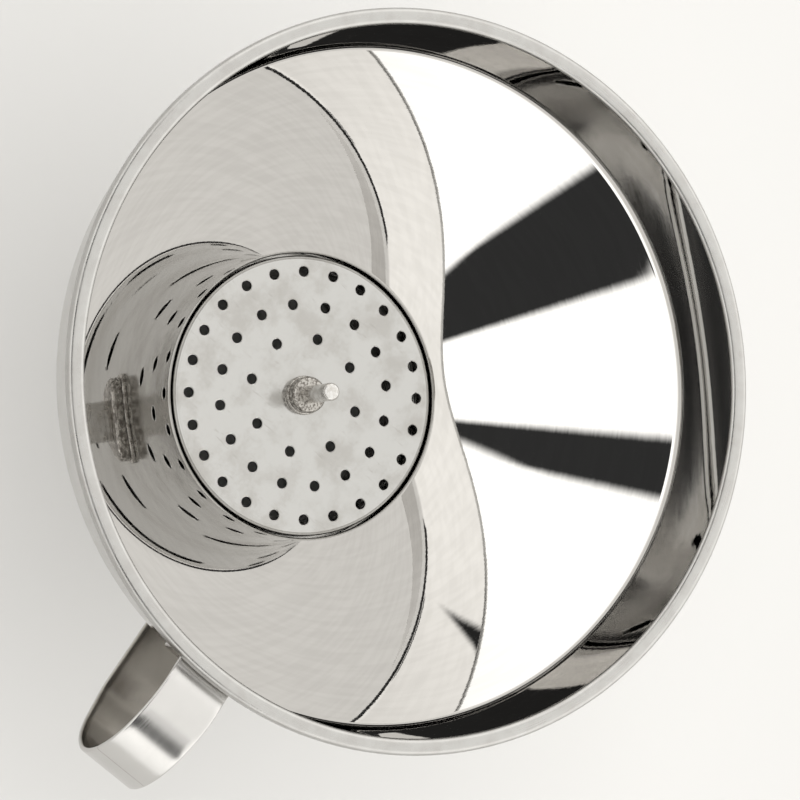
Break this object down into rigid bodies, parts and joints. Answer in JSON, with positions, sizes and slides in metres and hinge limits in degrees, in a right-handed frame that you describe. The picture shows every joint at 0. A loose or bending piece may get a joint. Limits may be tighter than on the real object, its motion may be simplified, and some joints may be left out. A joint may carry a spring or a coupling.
{
  "type": "canning funnel",
  "caption": "Wide-mouth stainless canning funnel with a loop handle and a lift-out perforated strainer in its throat, for filling preserving jars.",
  "frame": {"origin": "centre of the spout's outlet", "axes": "+Z along the funnel's axis, out of the mouth; +X towards the handle"},
  "size_m": [0.161, 0.14, 0.0833],
  "materials": {
    "bowl_steel": "mirror polish",
    "spout_steel": "mirror polish",
    "handle_steel": "satin",
    "strainer_steel": "satin",
    "washer_steel": "turned",
    "collar_steel": "turned",
    "pin_steel": "polished"
  },
  "bodies": {
    "funnel": {"funnel_bowl": "bowl_steel", "spout": "spout_steel", "handle_loop": "handle_steel"},
    "strainer": {"strainer_plate": "strainer_steel", "pin_washer": "washer_steel", "pin_collar": "collar_steel", "lifting_pin": "pin_steel"}
  },
  "joints": [
    {"name": "strainer_lift", "type": "slide", "parent": "funnel", "child": "strainer", "axis": [0, 0, 1], "range_m": [0, 0.085]}
  ]
}
